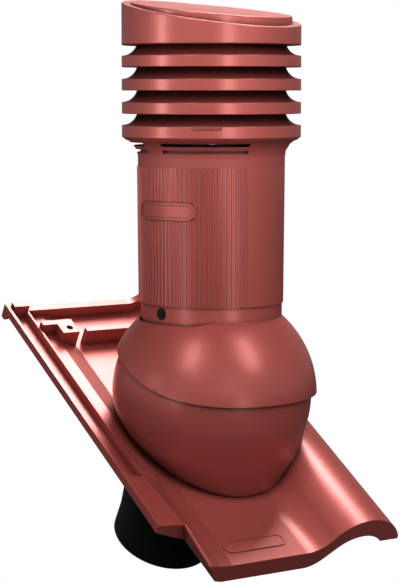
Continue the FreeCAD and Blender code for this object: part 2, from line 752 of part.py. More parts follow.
def lock_hole(radius, inner, outer):
    """A cylinder along a lock screw's axis, on the chimney's left side."""
    return Part.makeCylinder(radius, outer - inner, Vector(-inner, 0, LOCK_SCREW_Z), Vector(-1, 0, 0))


def both_sides(shape):
    other = shape.copy()
    other.rotate(ORIGIN, Z_AXIS, 180)
    return [shape, other]


def dome():
    """Spherical dome with the pipe's collar on top and the clamping neck inside."""
    inner = DOME_RADIUS - DOME_WALL
    inner_top = math.sqrt(inner ** 2 - NECK_RADIUS ** 2)
    junction = math.sqrt(DOME_RADIUS ** 2 - SHOULDER_RADIUS ** 2)
    bore = NECK_RADIUS - NECK_WALL
    inner_middle = on_sphere(inner, DOME_MIDDLE_ANGLE)
    outer_middle = on_sphere(DOME_RADIUS, DOME_MIDDLE_ANGLE)
    edges = [
        arc(Vector(NECK_RADIUS, 0, inner_top), inner_middle, Vector(inner, 0, 0)),
        arc(Vector(DOME_RADIUS, 0, 0), outer_middle, Vector(SHOULDER_RADIUS, 0, junction)),
    ]
    groove = COLLAR_RADIUS - PIPE_SEAL_DEPTH
    rim = [(inner, 0), (DOME_RADIUS, 0)]
    rise = [
        (SHOULDER_RADIUS, junction), (SHOULDER_RADIUS, PIPE_FOOT_Z),
        (COLLAR_RADIUS, PIPE_FOOT_Z), (COLLAR_RADIUS, PIPE_SEAL_Z),
        (groove, PIPE_SEAL_Z), (groove, PIPE_SEAL_Z + PIPE_SEAL_HEIGHT),
        (COLLAR_RADIUS, PIPE_SEAL_Z + PIPE_SEAL_HEIGHT), (COLLAR_RADIUS, COLLAR_TOP),
        (COLLAR_RADIUS - COLLAR_WALL, COLLAR_TOP), (COLLAR_RADIUS - COLLAR_WALL, CROWN_TOP),
        (bore, CROWN_TOP), (bore, NECK_LOWER_END),
        (NECK_RADIUS, NECK_LOWER_END), (NECK_RADIUS, inner_top),
    ]
    for run in (rim, rise):
        points = [Vector(r, 0, z) for r, z in run]
        edges += [line(a, b) for a, b in zip(points, points[1:])]
    body = revolved(edges).cut(rim_cutter())
    column = upright_hole(ORIGIN, SHOULDER_RADIUS, POCKET_FLOOR, PIPE_FOOT_Z)
    pocket_axis = Vector(POCKET_RADIUS - POCKET_REACH, 0, POCKET_FLOOR)
    pocket = Part.makeCylinder(POCKET_RADIUS, DOME_RADIUS, pocket_axis)
    for one in both_sides(pocket.cut(column)):
        body = body.cut(one)
    bores = [
        lock_hole(LOCK_SCREW_RADIUS + SLIP, screw_tip() - OVERLAP, LOCK_CAP_SEAT),
        lock_hole(INSERT_RADIUS, LOCK_CAP_SEAT - INSERT_LENGTH, LOCK_CAP_SEAT),
        lock_hole(LOCK_CAP_RADIUS + SLIP, LOCK_CAP_SEAT, DOME_RADIUS),
    ]
    for bored in bores:
        for one in both_sides(bored):
            body = body.cut(one)
    return body.removeSplitter()


def screw_tip():
    """Where a lock screw's tip stops, just clear of the ball."""
    clear = BALL_RADIUS + RUN_CLEARANCE
    return math.sqrt(clear ** 2 - (LOCK_SCREW_Z - LOCK_SCREW_RADIUS) ** 2)


def lock_screws():
    return Part.makeCompound(both_sides(lock_hole(LOCK_SCREW_RADIUS, screw_tip(), LOCK_CAP_SEAT)))


def lock_inserts():
    """Threaded brass inserts that the lock screws run in."""
    inner_end = LOCK_CAP_SEAT - INSERT_LENGTH
    sleeve = lock_hole(INSERT_RADIUS, inner_end, LOCK_CAP_SEAT)
    thread = LOCK_SCREW_RADIUS + THREAD_CLEARANCE
    sleeve = sleeve.cut(lock_hole(thread, inner_end - OVERLAP, LOCK_CAP_SEAT + OVERLAP))
    return Part.makeCompound(both_sides(sleeve))


def lock_caps():
    """Round black caps over the lock screws, slightly crowned."""
    plug = lock_hole(LOCK_CAP_RADIUS, LOCK_CAP_SEAT, SHOULDER_RADIUS)
    crown = lock_hole(LOCK_CAP_RADIUS - LOCK_CAP_STEP, LOCK_CAP_SEAT, SHOULDER_RADIUS + LOCK_CAP_CROWN)
    return Part.makeCompound(both_sides(plug.fuse(crown).removeSplitter()))


def ball_seal():
    """Soft ring inside the dome, which wipes the ball."""
    outer = DOME_RADIUS - DOME_WALL - SEAL_SLACK
    inner = BALL_RADIUS + RUN_CLEARANCE
    middle = 0.5 * (SEAL_FIRST_ANGLE + SEAL_LAST_ANGLE)
    return revolved([
        arc(on_sphere(outer, SEAL_FIRST_ANGLE), on_sphere(outer, middle), on_sphere(outer, SEAL_LAST_ANGLE)),
        line(on_sphere(outer, SEAL_LAST_ANGLE), on_sphere(inner, SEAL_LAST_ANGLE)),
        arc(on_sphere(inner, SEAL_LAST_ANGLE), on_sphere(inner, middle), on_sphere(inner, SEAL_FIRST_ANGLE)),
        line(on_sphere(inner, SEAL_FIRST_ANGLE), on_sphere(outer, SEAL_FIRST_ANGLE)),
    ])


def clamp_nut():
    """Ring nut with a spherical face that bears on the inside of the ball."""
    face = BALL_RADIUS - BALL_WALL - RUN_CLEARANCE
    bore = NECK_RADIUS + THREAD_CLEARANCE
    rim = FLOOR_HOLE_RADIUS - NUT_SMALLER_THAN_HOLE
    hub = bore + NUT_WALL

    def on_face(radius):
        return Vector(radius, 0, math.sqrt(face ** 2 - radius ** 2))

    under = on_face(rim).z - NUT_FLANGE_DEPTH
    body = ((rim, under), (hub, under), (hub, NUT_FOOT), (bore, NUT_FOOT))
    corners = [on_face(rim)] + [Vector(r, 0, z) for r, z in body] + [on_face(bore)]
    edges = [line(a, b) for a, b in zip(corners, corners[1:])]
    edges.append(arc(on_face(bore), on_face(0.5 * (bore + rim)), on_face(rim)))
    grip = upright(-NUT_GRIP_WIDTH / 2, NUT_GRIP_WIDTH / 2, hub - OVERLAP, hub + NUT_GRIP_REACH,
                   NUT_FOOT, under + OVERLAP)
    return fused([revolved(edges)] + turned_copies(grip, NUT_GRIPS, 0))


def ring(inner, outer, low, height):
    """A plain ring about Z."""
    body = Part.makeCylinder(outer, height, Vector(0, 0, low))
    return body.cut(upright_hole(ORIGIN, inner, low, low + height))


def pipe_seal():
    """Ring in the collar's groove, which closes the joint with the pipe."""
    outer = radius_at(PIPE_SEAL_Z) - PIPE_WALL - SEAL_SLACK
    return ring(COLLAR_RADIUS - PIPE_SEAL_DEPTH, outer, PIPE_SEAL_Z, PIPE_SEAL_HEIGHT)


def duct_seal():
    """Ring round the foot of the inner duct."""
    return ring(DUCT_RADIUS, DUCT_SEAL_RADIUS, CROWN_TOP, DUCT_SEAL_HEIGHT)


def oval(length, height, thickness):
    """A plate with round ends, lying in the XY plane and rising along Z."""
    radius = height / 2
    reach = length / 2 - radius
    left, right = Vector(-reach, 0, 0), Vector(reach, 0, 0)
    up = Vector(0, radius, 0)
    side = Vector(radius, 0, 0)
    edges = [line(left - up, right - up), arc(right - up, right + side, right + up),
             line(right + up, left + up), arc(left + up, left - side, left - up)]
    return Part.Face(Part.Wire(edges)).extrude(Vector(0, 0, thickness))


def ribbed_outline(radius, height):
    """The pipe's outside with its ribs, as one closed wire of short steps and arcs."""
    def point(r, degrees):
        turn = math.radians(degrees - 90)
        return Vector(r * math.cos(turn), r * math.sin(turn), height)

    count = int(round((RIB_LAST_ANGLE - RIB_FIRST_ANGLE) / RIB_PITCH_ANGLE)) + 1
    foot = math.degrees(RIB_WIDTH / 2 / radius)
    crest = foot * RIB_CREST_SHARE
    corners = []
    for k in range(count):
        middle = RIB_FIRST_ANGLE + RIB_PITCH_ANGLE * k
        corners += [
            point(radius, middle - foot),
            point(radius + RIB_HEIGHT, middle - crest),
            point(radius + RIB_HEIGHT, middle + crest),
            point(radius, middle + foot),
        ]
    plain_from = RIB_FIRST_ANGLE + RIB_PITCH_ANGLE * (count - 1) + foot
    plain_to = RIB_FIRST_ANGLE - foot + 360
    quarter = 0.25 * (plain_to - plain_from)
    stops = [point(radius, plain_from + quarter * k) for k in range(5)]
    edges = [line(a, b) for a, b in zip(corners, corners[1:])]
    edges += [arc(corners[-1], stops[1], stops[2]), arc(stops[2], stops[3], corners[0])]
    return Part.Wire(edges)


def radius_at(z):
    """The plain pipe's outside radius at a height."""
    share = (z - PIPE_FOOT_Z) / (PIPE_TOP_Z - PIPE_FOOT_Z)
    return PIPE_FOOT_RADIUS + share * (PIPE_TOP_RADIUS - PIPE_FOOT_RADIUS)


def outer_pipe():
    """Conical pipe, ribbed along the middle of its height."""
    low = PIPE_FOOT_Z + RIB_MARGIN
    high = PIPE_TOP_Z - RIB_MARGIN / 2
    outlines = [ribbed_outline(radius_at(z), z) for z in (low, high)]
    ribbed = Part.makeLoft(outlines, True, True)
    foot = Vector(0, 0, PIPE_FOOT_Z)
    length = PIPE_TOP_Z - PIPE_FOOT_Z
    plain = Part.makeCone(PIPE_FOOT_RADIUS, PIPE_TOP_RADIUS, length, foot)
    bore = Part.makeCone(PIPE_FOOT_RADIUS - PIPE_WALL, PIPE_TOP_RADIUS - PIPE_WALL, length, foot)
    return plain.multiFuse([ribbed] + pipe_plate()).cut(bore)


def pipe_plate():
    """The oval plate on the pipe's ribbed side, and its raised rim."""
    radius = radius_at(PIPE_PLATE_Z) - PIPE_WALL / 2
    reach = 2 * PIPE_TOP_RADIUS
    rim = oval(PIPE_PLATE_LENGTH, PIPE_PLATE_HEIGHT, reach)
    field = oval(PIPE_PLATE_LENGTH - 2 * PLATE_RIM, PIPE_PLATE_HEIGHT - 2 * PLATE_RIM, reach)
    rim_relief = PIPE_PLATE_RELIEF + PLATE_RIM_HEIGHT
    layers = []
    for shape, relief in ((field, PIPE_PLATE_RELIEF), (rim.cut(field), rim_relief)):
        shape.rotate(ORIGIN, X_AXIS, 90)
        shape.rotate(ORIGIN, Z_AXIS, PIPE_PLATE_ANGLE)
        shape.translate(Vector(0, 0, PIPE_PLATE_Z))
        outer = radius_at(PIPE_PLATE_Z) + relief
        shell = ring(radius, outer, PIPE_PLATE_Z - PIPE_PLATE_HEIGHT, 2 * PIPE_PLATE_HEIGHT)
        layers.append(shape.common(shell))
    return layers


def tile_plate():
    """The oval plate on the pan near the front, and its raised rim."""
    field_top = OVERLAP + TILE_PLATE_RELIEF
    rim_top = field_top + PLATE_RIM_HEIGHT
    rim = oval(TILE_PLATE_LENGTH, TILE_PLATE_HEIGHT, rim_top)
    field = oval(TILE_PLATE_LENGTH - 2 * PLATE_RIM, TILE_PLATE_HEIGHT - 2 * PLATE_RIM, rim_top)
    floor = oval(TILE_PLATE_LENGTH - PLATE_RIM, TILE_PLATE_HEIGHT - PLATE_RIM, field_top)
    plate = rim.cut(field).fuse(floor)
    plate.translate(Vector(TILE_PLATE_X, -TILE_PLATE_Y, PAN_H - OVERLAP))
    return plate


def inner_duct():
    return ring(DUCT_RADIUS - DUCT_WALL, DUCT_RADIUS, CROWN_TOP, DUCT_TOP - CROWN_TOP)


def insulation():
    """Foam sleeve between the duct and the pipe."""
    low = CROWN_TOP + DUCT_SEAL_HEIGHT
    high = PIPE_TOP_Z - SLEEVE_DEPTH - INSULATION_GAP
    return ring(DUCT_RADIUS + SLIP, COLLAR_RADIUS - COLLAR_WALL - SLIP, low, high - low)


def slot_cutter(z, first, last):
    """A slot through the collar's outer wall, between two angles from the front."""
    sector = Part.makeCylinder(CAP_RADIUS, SLOT_HEIGHT, Vector(0, 0, z), Z_AXIS, last - first)
    sector.rotate(ORIGIN, Z_AXIS, first - 90)
    return sector.cut(upright_hole(ORIGIN, SLEEVE_RADIUS, z, z + SLOT_HEIGHT))


def cap_collar():
    """Flared collar on the pipe's top, slotted, with a sleeve that enters the pipe."""
    sleeve_foot = radius_at(PIPE_TOP_Z - SLEEVE_DEPTH) - PIPE_WALL - SLIP
    flare_z = 0.5 * (NECK_FLARE_START + NECK_TOP_Z)
    flare = NECK_FLARE_SHARE * (NECK_TOP_RADIUS - PIPE_TOP_RADIUS)
    inside = PIPE_TOP_RADIUS - NECK_STRAIGHT_WALL
    outer_top = Vector(NECK_TOP_RADIUS, 0, NECK_TOP_Z)
    inner_top = Vector(NECK_TOP_RADIUS - NECK_SHEET, 0, NECK_TOP_Z)
    outer_flare = Vector(PIPE_TOP_RADIUS + flare, 0, flare_z)
    inner_flare = Vector(inside + flare, 0, flare_z + NECK_FLARE_LIFT)
    web = PIPE_TOP_Z + NECK_SHEET
    edges = [
        arc(Vector(PIPE_TOP_RADIUS, 0, NECK_FLARE_START), outer_flare, outer_top),
        line(outer_top, inner_top),
        arc(inner_top, inner_flare, Vector(inside, 0, NECK_FLARE_START)),
    ]
    run = [
        (inside, NECK_FLARE_START), (inside, web), (SLEEVE_RADIUS, web), (SLEEVE_RADIUS, UPSTAND_TOP),
        (SLEEVE_RADIUS - NECK_SHEET, UPSTAND_TOP), (sleeve_foot - NECK_SHEET, PIPE_TOP_Z - SLEEVE_DEPTH),
        (sleeve_foot, PIPE_TOP_Z - SLEEVE_DEPTH), (SLEEVE_RADIUS, PIPE_TOP_Z), (PIPE_TOP_RADIUS, PIPE_TOP_Z),
        (PIPE_TOP_RADIUS, NECK_FLARE_START),
    ]
    points = [Vector(r, 0, z) for r, z in run]
    edges += [line(a, b) for a, b in zip(points, points[1:])]
    body = revolved(edges)
    for z in SLOT_ROWS:
        for first, last in SLOT_ANGLES:
            body = body.cut(slot_cutter(z, first, last))
    return body


def cove_edges(top, radius, inset):
    """The hollow curve that rises from a band's top edge to the throat."""
    centre = Vector(CAP_RADIUS, 0, top + COVE_RADIUS)
    reach = COVE_RADIUS + inset
    start = Vector(radius, 0, centre.z - math.sqrt(reach ** 2 - (centre.x - radius) ** 2))
    end = Vector(centre.x - reach, 0, centre.z)
    middle = centre + Vector(-1, 0, -1).normalize() * reach
    return arc(start, middle, end), start, end


def ring_section(top, extra):
    """Closed section of a louvre ring: band outside, cove and throat above."""
    outer_arc, outer_start, outer_end = cove_edges(top, CAP_RADIUS, 0)
    inner_arc, inner_start, inner_end = cove_edges(top, CAP_RADIUS - RING_WALL, RING_WALL)
    low = top - BAND_HEIGHT
    edges = [outer_arc, inner_arc, line(outer_end, inner_end)]
    points = [inner_start] + [Vector(r, 0, z) for r, z in extra(low)] + [outer_start]
    edges += [line(a, b) for a, b in zip(points, points[1:])]
    return edges


def boss_spots():
    spots = []
    for k in range(BOSS_COUNT):
        angle = math.radians(BOSS_ANGLE + 360.0 * k / BOSS_COUNT)
        spots.append(Vector(BOSS_PITCH_RADIUS * math.cos(angle), BOSS_PITCH_RADIUS * math.sin(angle), 0))
    return spots


def rounded_rims(body, radius, size):
    """Rounds the circular edges that lie on the outside of a band."""
    rims = []
    for edge in body.Edges:
        if isinstance(edge.Curve, Part.Circle) and abs(edge.Curve.Radius - radius) < SAME_LENGTH:
            rims.append(edge)
    return body.makeFillet(size, rims)


def with_bosses(body, low, high):
    """Adds the four spacer bosses between two heights, each bored for its bolt."""
    bosses = [Part.makeCylinder(BOSS_RADIUS, high - low, spot + Vector(0, 0, low)) for spot in boss_spots()]
    body = body.multiFuse(bosses)
    for spot in boss_spots():
        body = body.cut(upright_hole(spot, BOLT_RADIUS + SLIP, low, high))
    return body.removeSplitter()


def louvre_ring(top):
    section = ring_section(top, lambda low: [(CAP_RADIUS - RING_WALL, low), (CAP_RADIUS, low)])
    high = top + COVE_RADIUS
    body = rounded_rims(revolved(section), CAP_RADIUS, BAND_ROUND)
    return with_bosses(body, high - RING_PITCH, high)


def base_ring():
    """The cap's lowest ring, with its floor on the collar and a latch recess."""
    floor = NECK_TOP_Z + BASE_FLOOR
    ledge = NECK_TOP_RADIUS + BASE_LEDGE
    hole = DUCT_RADIUS + SLIP

    def foot(low):
        return [(CAP_RADIUS - RING_WALL, floor), (hole, floor), (hole, NECK_TOP_Z), (ledge, NECK_TOP_Z),
                (CAP_RADIUS, low)]

    body = rounded_rims(revolved(ring_section(BASE_BAND_TOP, foot)), CAP_RADIUS, BAND_ROUND)
    high = BASE_BAND_TOP + COVE_RADIUS
    body = with_bosses(body, NECK_TOP_Z, high)
    latch = upright(CAP_RADIUS - LATCH_DEPTH, CAP_RADIUS + LATCH_DEPTH, -LATCH_WIDTH / 2, LATCH_WIDTH / 2,
                    BASE_BAND_TOP - LATCH_HEIGHT, BASE_BAND_TOP + LATCH_HEIGHT)
    latch.rotate(ORIGIN, Z_AXIS, LATCH_ANGLE - 90)
    return body.cut(latch)


def slope_cutter(centre_z, slope, inset):
    """Everything above a plane that falls towards the front."""
    size = 4 * CAP_RADIUS
    block = Part.makeBox(size, size, size, Vector(-size / 2, -size / 2, 0))
    block.rotate(ORIGIN, X_AXIS, slope)
    block.translate(Vector(0, 0, centre_z - inset))
    return block


def sloped_drum(radius, low, centre_z, slope, size):
    """A drum with a sloping top whose edge, and the lower rim, are rounded."""
    drum = Part.makeCylinder(radius, centre_z + radius - low, Vector(0, 0, low))
    drum = drum.cut(slope_cutter(centre_z, slope, 0))
    rims = [edge for edge in drum.Edges if not isinstance(edge.Curve, Part.Line)]
    return drum.makeFillet(size, rims)


def cap_lid():
    """Skirted lid with a sloping top and a raised wedge-shaped panel."""
    tall = LID_CENTRE_Z + CAP_RADIUS - LID_RIM_Z
    outside = sloped_drum(CAP_RADIUS, LID_RIM_Z, LID_CENTRE_Z, LID_SLOPE_ANGLE, LID_ROUND)
    panel = sloped_drum(PANEL_RADIUS, LID_RIM_Z + LID_WALL, PANEL_CENTRE_Z, PANEL_SLOPE_ANGLE, LID_ROUND)
    inside = upright_hole(ORIGIN, CAP_RADIUS - LID_WALL, LID_RIM_Z, LID_RIM_Z + tall)
    inside = inside.cut(slope_cutter(LID_CENTRE_Z, LID_SLOPE_ANGLE, LID_WALL))
    body = outside.fuse(panel).cut(inside)
    low = BAND_TOPS[-1] + COVE_RADIUS
    post = Part.makeCylinder(BOSS_RADIUS, tall, ORIGIN)
    posts = []
    for spot in boss_spots():
        one = post.copy()
        one.translate(spot + Vector(0, 0, low))
        posts.append(one.cut(slope_cutter(LID_CENTRE_Z, LID_SLOPE_ANGLE, OVERLAP)))
    body = body.multiFuse(posts)
    for spot in boss_spots():
        thread = Part.makeCylinder(BOLT_RADIUS + SLIP, BOLT_GRIP + SLIP, spot + Vector(0, 0, low))
        body = body.cut(thread)
    return body.removeSplitter()


def cap_bolts():
    """Four long bolts from under the base ring up into the lid's posts."""
    tip = BAND_TOPS[-1] + COVE_RADIUS + BOLT_GRIP
    bolts = []
    for spot in boss_spots():
        under = NECK_TOP_Z - BOLT_HEAD_HEIGHT
        shank = Part.makeCylinder(BOLT_RADIUS, tip - under, spot + Vector(0, 0, under))
        head = Part.makeCylinder(BOLT_HEAD_RADIUS, BOLT_HEAD_HEIGHT, spot + Vector(0, 0, under))
        bolts.append(shank.fuse(head))
    return Part.makeCompound(bolts)


save("tile_body", tile_body(), TILE_FRAME)
save("ball_base", ball_base(), TILE_FRAME)
save("duct_spigot", duct_spigot(), TILE_FRAME)
save("spigot_gasket", spigot_gasket(), TILE_FRAME)
save("spigot_screws", spigot_screws(), TILE_FRAME)
save("clamp_nut", clamp_nut(), CHIMNEY_FRAME)
save("dome", dome(), CHIMNEY_FRAME)
save("ball_seal", ball_seal(), CHIMNEY_FRAME)
save("lock_inserts", lock_inserts(), CHIMNEY_FRAME)
save("lock_screws", lock_screws(), CHIMNEY_FRAME)
save("lock_caps", lock_caps(), CHIMNEY_FRAME)
save("outer_pipe", outer_pipe(), CHIMNEY_FRAME)
save("pipe_seal", pipe_seal(), CHIMNEY_FRAME)
save("duct_seal", duct_seal(), CHIMNEY_FRAME)
save("inner_duct", inner_duct(), CHIMNEY_FRAME)
save("insulation_sleeve", insulation(), CHIMNEY_FRAME)
save("cap_collar", cap_collar(), CHIMNEY_FRAME)
save("cap_base_ring", base_ring(), CHIMNEY_FRAME)
for number, band_top in enumerate(BAND_TOPS, start=1):
    save("louvre_ring_%d" % number, louvre_ring(band_top), CHIMNEY_FRAME)
save("cap_bolts", cap_bolts(), CHIMNEY_FRAME)
save("cap_lid", cap_lid(), CHIMNEY_FRAME)
print("ball centre", [round(v, 3) for v in BALL_CENTRE])
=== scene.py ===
# %% [markdown]
# # A roof tile vent
#
# The real thing is a roof tile with a ball welded into it, a dome that tilts and turns on that
# ball, and an insulated pipe that carries a louvred cap. Everything that shows is brick-red
# plastic, apart from the black spigot under the tile and the black caps over the locking screws.
#
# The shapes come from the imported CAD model, and all of its pieces are kept. This file gives them
# their finishes and lights them as the photograph was lit.

import json
import math

import bmesh
import bpy
from mathutils import Matrix, Vector


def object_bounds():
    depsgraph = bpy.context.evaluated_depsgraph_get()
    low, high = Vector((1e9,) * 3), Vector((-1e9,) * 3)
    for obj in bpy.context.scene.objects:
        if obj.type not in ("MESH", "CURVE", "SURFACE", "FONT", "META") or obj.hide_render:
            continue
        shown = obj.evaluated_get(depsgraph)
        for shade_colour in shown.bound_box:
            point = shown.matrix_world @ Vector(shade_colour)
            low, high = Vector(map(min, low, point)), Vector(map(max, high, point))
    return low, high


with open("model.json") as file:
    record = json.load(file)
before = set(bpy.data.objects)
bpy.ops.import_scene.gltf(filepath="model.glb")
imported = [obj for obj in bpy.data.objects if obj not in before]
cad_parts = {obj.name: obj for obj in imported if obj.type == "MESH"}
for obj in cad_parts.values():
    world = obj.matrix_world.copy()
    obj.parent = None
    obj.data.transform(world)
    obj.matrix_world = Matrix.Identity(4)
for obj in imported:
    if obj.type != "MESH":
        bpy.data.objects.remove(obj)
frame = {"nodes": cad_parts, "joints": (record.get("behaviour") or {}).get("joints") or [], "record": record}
MM = 0.001
cad_low, cad_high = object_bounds()

# %% [markdown]
# ## The camera
#
# The photograph was taken from the front left, a little above the cap's rings, with a long
# lens. The camera's place was found from the tile's parallel edges and from the rings. It is
# given from the centre of the ball, because the chimney turns and tilts about that point.

# %% Put the camera in the photographer's place
tilt_joint = next(joint for joint in frame["joints"] if joint["name"] == "chimney_tilt")
BALL_CENTRE = Vector(tilt_joint["pos_m"])
CAMERA_AZIMUTH = math.radians(32.96)
CAMERA_PITCH = math.radians(6.124)
CAMERA_DISTANCE = 2.1005
CAMERA_RISE = 0.33734
LENS_MM = 119.0
SENSOR_MM = 36
AXIS_SHIFT = -0.0196
FARTHEST_SEEN = 50

camera_data = bpy.data.cameras.new("camera")
camera_data.lens = LENS_MM
camera_data.sensor_width = SENSOR_MM
camera_data.shift_x = AXIS_SHIFT
camera_data.clip_end = FARTHEST_SEEN
camera = bpy.data.objects.new("camera", camera_data)
camera.location = BALL_CENTRE + Vector((
    -CAMERA_DISTANCE * math.sin(CAMERA_AZIMUTH),
    -CAMERA_DISTANCE * math.cos(CAMERA_AZIMUTH),
    CAMERA_RISE,
))
camera.rotation_euler = (math.pi / 2 - CAMERA_PITCH, 0, -CAMERA_AZIMUTH)
bpy.context.scene.collection.objects.link(camera)
bpy.context.scene.camera = camera
print("camera at", [round(v, 3) for v in camera.location])

# %% [markdown]
# ## Writing nodes as sums
#
# A shader's nodes are easier to read as arithmetic. `Wire` wraps a socket, so `a * 2 + b` adds
# the Math nodes by itself. A `Workshop` is a node tree to build in. Its `node` method makes any
# other node from its type, its settings and what goes into its sockets. Each material is built
# in a `Finish`, a workshop with a shader in it. The room's light needs only a plain workshop.

# %% A wire that can be added and multiplied
class Wire:
    def __init__(self, workshop, socket):
        self.workshop = workshop
        self.socket = socket

    def math(self, operation, *values):
        inputs = dict(enumerate(values))
        return self.workshop.node("ShaderNodeMath", {"operation": operation}, inputs)

    def __add__(self, other):
        return self.math("ADD", self, other)

    def __sub__(self, other):
        return self.math("SUBTRACT", self, other)

    def __rsub__(self, other):
        return self.math("SUBTRACT", other, self)

    def __mul__(self, other):
        return self.math("MULTIPLY", self, other)

    __radd__ = __add__
    __rmul__ = __mul__


print("wires ready")


# %% A node tree to build in
class Workshop:
    def __init__(self, tree):
        self.tree = tree
        self.tree.nodes.clear()

    def node(self, kind, settings=None, inputs=None, out=0):
        made = self.tree.nodes.new(kind)
        for name, value in (settings or {}).items():
            setattr(made, name, value)
        for name, value in (inputs or {}).items():
            self.put(made.inputs[name], value)
        return Wire(self, made.outputs[out])

    def put(self, socket, value):
        if isinstance(value, Wire):
            self.tree.links.new(value.socket, socket)
        else:
            socket.default_value = value

    def show(self, kind, surface):
        """Add the output node, and lead the surface into it."""
        self.put(self.tree.nodes.new(kind).inputs["Surface"], surface)

    def eased(self, value, start, end, first, last):
        """The first number up to the start, the last one from the end on, and a soft step between."""
        inputs = {"Value": value, "From Min": start, "From Max": end, "To Min": first, "To Max": last}
        return self.node("ShaderNodeMapRange", {"interpolation_type": "SMOOTHSTEP"}, inputs)


print("workshop ready")


# %% A material with its own workshop
CORNER_RAYS = 8


class Finish(Workshop):
    def __init__(self, name):
        self.material = bpy.data.materials.new(name)
        self.material.use_nodes = True
        super().__init__(self.material.node_tree)
        self.place = self.node("ShaderNodeTexCoord", out="Object")
        shader = self.node("ShaderNodeBsdfPrincipled")
        self.sockets = shader.socket.node.inputs
        self.show("ShaderNodeOutputMaterial", shader)

    def set(self, **values):
        for name, value in values.items():
            self.put(self.sockets[name.replace("_", " ")], value)

    def noise(self, scale, detail, roughness):
        inputs = {"Vector": self.place, "Scale": scale, "Detail": detail, "Roughness": roughness}
        return self.node("ShaderNodeTexNoise", {"noise_dimensions": "3D"}, inputs)

    def between(self, amount, first, second):
        """The first colour where the amount is 0, the second where it is 1."""
        inputs = {0: amount, 6: first, 7: second}
        return self.node("ShaderNodeMix", {"data_type": "RGBA"}, inputs, out=2)

    def openness(self, reach, sharpness):
        """Close to 1 on open faces, and towards 0 in the corners that light hardly gets into."""
        rays = {"samples": CORNER_RAYS}
        lit = self.node("ShaderNodeAmbientOcclusion", rays, {"Distance": reach}, out="AO")
        return 1 - (1 - lit) * sharpness

    def bump(self, height, depth, strength, normal=None):
        inputs = {"Height": height, "Distance": depth, "Strength": strength}
        if normal is not None:
            inputs["Normal"] = normal
        return self.node("ShaderNodeBump", {}, inputs)


print("finishes can be mixed")

# %% [markdown]
# ## Moulded plastic
#
# The tile, the ball, the dome, the pipe and the cap are injection moulded in plastic that is
# coloured right through. What makes such a part look real is its skin. The steel of the mould
# leaves a faint orange peel, so highlights have soft edges, and the mould's own radii keep
# every edge a little round. The colour drifts by a few percent where the melt flowed, and the
# sheen drifts with it. Shade is painted into the colour of the hollows, so they go dark quickly.
# Ambient Occlusion finds them from the shape itself, so the painted shade stays where it is from
# every side.

# %% The skin that a mould leaves, and the shade painted into its hollows
EDGE_ROUND = 0.5 * MM
EDGE_RAYS = 4
FLOW_NOISE = (9.0, 3.0, 0.55)
PEEL_NOISE = (620.0, 2.0, 0.5)
PEEL_STRENGTH = 0.35
COAT_ROUGHNESS = 0.2
PLASTIC_IOR = 1.5
# The colour of the broad shade that is painted towards the ball's foot.
SHADE_RED = (0.23, 0.060, 0.053, 1)


def moulded_plastic(name, light, deep, shade_colour, shade_reach, skin, pearl=0.0, gloss=0.5, coat=0.0, foot=None):
    """The reach and sharpness for the hollows say how far shade is painted into the colour there, down to
    the given shade colour, and foot's say how far a broad shade is painted in SHADE_RED; skin is a
    roughness, its drift, and the peel's depth.
    """
    roughness, drift, peel = skin
    finish = Finish(name)
    flow = finish.noise(*FLOW_NOISE)
    rounded = finish.node("ShaderNodeBevel", {"samples": EDGE_RAYS}, {"Radius": EDGE_ROUND})
    colour = finish.between(flow, deep, light)
    # Painted shade: towards the foot a broad shade is painted into the colour.
    if foot is not None:
        colour = finish.between(finish.openness(*foot), SHADE_RED, colour)
    finish.set(
        # Painted shade: the base colour is darkened in the hollows, down to the given shade colour.
        Base_Color=finish.between(finish.openness(*shade_reach), shade_colour, colour),
        Roughness=flow * drift + (roughness - drift / 2),
        Normal=finish.bump(finish.noise(*PEEL_NOISE), peel, PEEL_STRENGTH, rounded),
        Metallic=pearl,
        Specular_IOR_Level=gloss,
        Coat_Weight=coat,
        Coat_Roughness=COAT_ROUGHNESS,
        IOR=PLASTIC_IOR,
    )
    return finish.material


print("edges rounded by", EDGE_ROUND, "m")

# %% [markdown]
# ## Brick red
#
# In the photograph the red has a pearly lustre under a thin gloss, so some of it is Metallic,
# with a weak Coat on top. One red wouldn't do for all pieces, because shade is painted into the
# colour of the hollows, and a hollow's size decides how far that painted shade reaches: narrow
# between the pipe's ribs, wide in the coves between the rings. The ball has a thin painted shadow
# line under the dome's rim, and a broad painted shade towards its foot. The collar under the cap is
# duller than the rest and shows no streaks, and its red is a darker copy that paints the cap's shade
# on it.

# %% Mix the reds
RED = (0.46, 0.090, 0.075, 1)
RED_DEEP = (0.41, 0.077, 0.063, 1)
# The next two are painted shade: the colours that the hollows of the reds, and the tile's walls and grooves,
# are darkened to.
RED_PAINTED_SHADE = (0.05, 0.008, 0.007, 1)
TILE_PAINTED_SHADE = (0.11, 0.020, 0.017, 1)
# Painted shade: the collar's red is a darker copy of the red, which paints the shade that the cap casts on
# it. Its duller skin is its own.
COLLAR_SHADED_RED = (0.355, 0.069, 0.058, 1)
COLLAR_SHADED_DEEP = (0.32, 0.060, 0.050, 1)
# Each pair gives how far and how sharply shade is painted into the colour: in creases, under the dome's rim,
# in the coves between the rings, in the tile's walls, between the pipe's ribs, and broadly towards the
# ball's foot.
CREASE_SHADE = (5 * MM, 1.7)
RIM_SHADE = (5 * MM, 2.4)
COVE_SHADE = (22 * MM, 2.4)
WALL_SHADE = (10 * MM, 1.5)
RIB_SHADE = (2 * MM, 2.3)
FOOT_SHADE = (90 * MM, 1.4)
SATIN = (0.38, 0.08, 0.05 * MM)
DULL = (0.55, 0.08, 0.05 * MM)
PEARL = 0.4
COLLAR_PEARL = 0.15
COAT = 0.25


